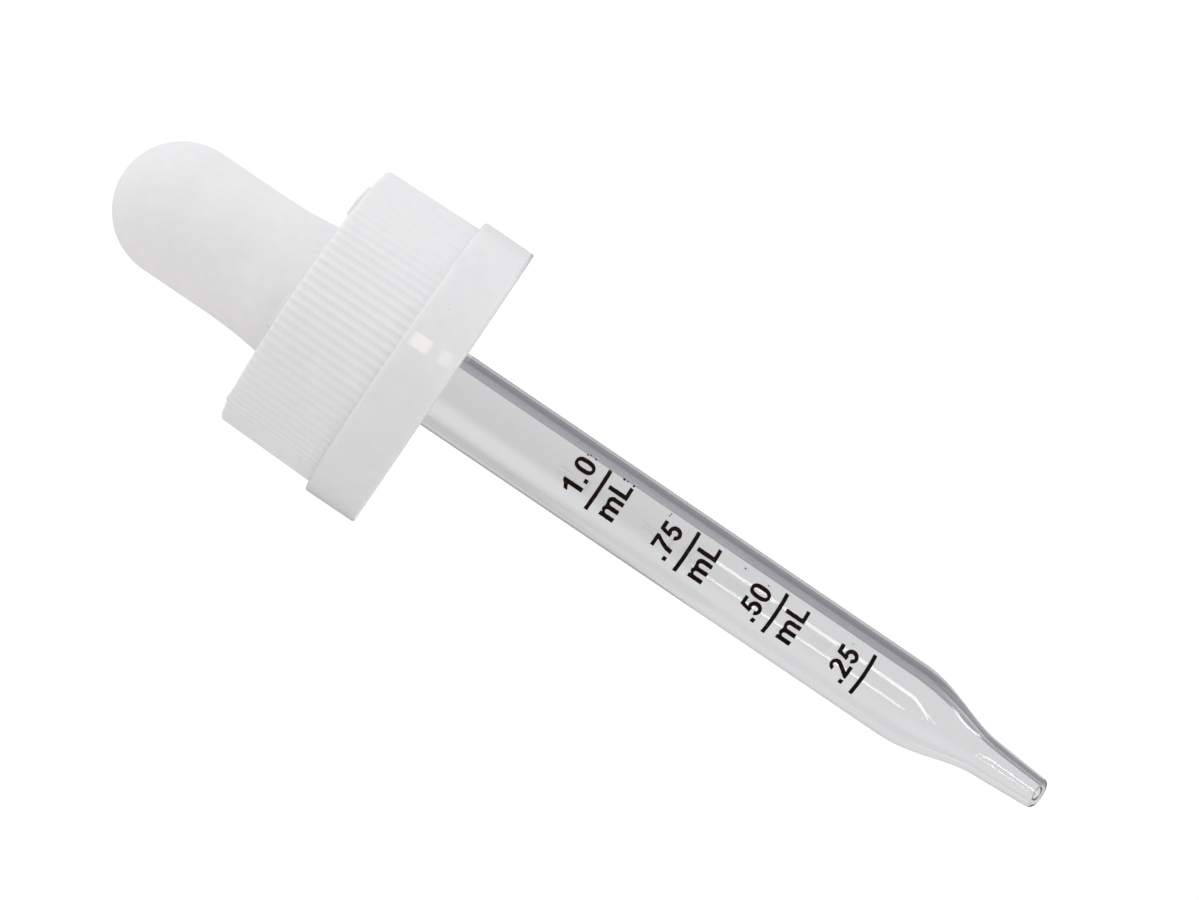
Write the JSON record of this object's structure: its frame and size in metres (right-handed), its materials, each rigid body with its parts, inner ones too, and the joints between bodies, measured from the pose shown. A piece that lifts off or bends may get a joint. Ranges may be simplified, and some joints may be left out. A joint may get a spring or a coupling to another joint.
{
  "type": "medicine dropper",
  "caption": "Glass medicine dropper with a rubber bulb and a ribbed child-resistant screw closure, graduated in quarter millilitres, for a 20-400 bottle neck.",
  "frame": {"origin": "on the dropper's axis, in the plane where the bulb's flange seals on the bottle's lip", "axes": "+Z along the axis from the glass tip towards the bulb; -Y is the side that carries the printed scale"},
  "size_m": [0.028, 0.028, 0.0968],
  "materials": {
    "cap_plastic": "white polypropylene, satin on the ribs and glossy on the band",
    "inner_plastic": "white polypropylene, satin",
    "bulb_rubber": "matte white rubber",
    "pipette_glass": "clear, fire polished at both ends",
    "scale_ink": "fired brown-black enamel"
  },
  "bodies": {
    "inner_cap": {"inner_cap": "inner_plastic"},
    "pipette": {"glass_pipette": "pipette_glass", "scale_line_0_25": "scale_ink", "scale_line_0_50": "scale_ink", "scale_line_0_75": "scale_ink", "scale_line_1_00": "scale_ink"},
    "outer_cap": {"outer_cap": "cap_plastic"},
    "bulb": {"rubber_bulb": "bulb_rubber"}
  },
  "joints": [
    {"name": "cap_spin", "type": "hinge", "parent": "inner_cap", "child": "pipette", "pos_m": [0, 0, 0], "axis": [0, 0, 1], "continuous": true},
    {"name": "push_down", "type": "slide", "parent": "pipette", "child": "outer_cap", "axis": [0, 0, -1], "range_m": [0, 0.001], "stiffness_N_per_m": 8000, "springref_m": -0.0005},
    {"name": "bulb_squeeze", "type": "slide", "parent": "pipette", "child": "bulb", "axis": [0, 0, -1], "range_m": [0, 0.004], "stiffness_N_per_m": 1500, "deforming": ["rubber_bulb"]}
  ]
}
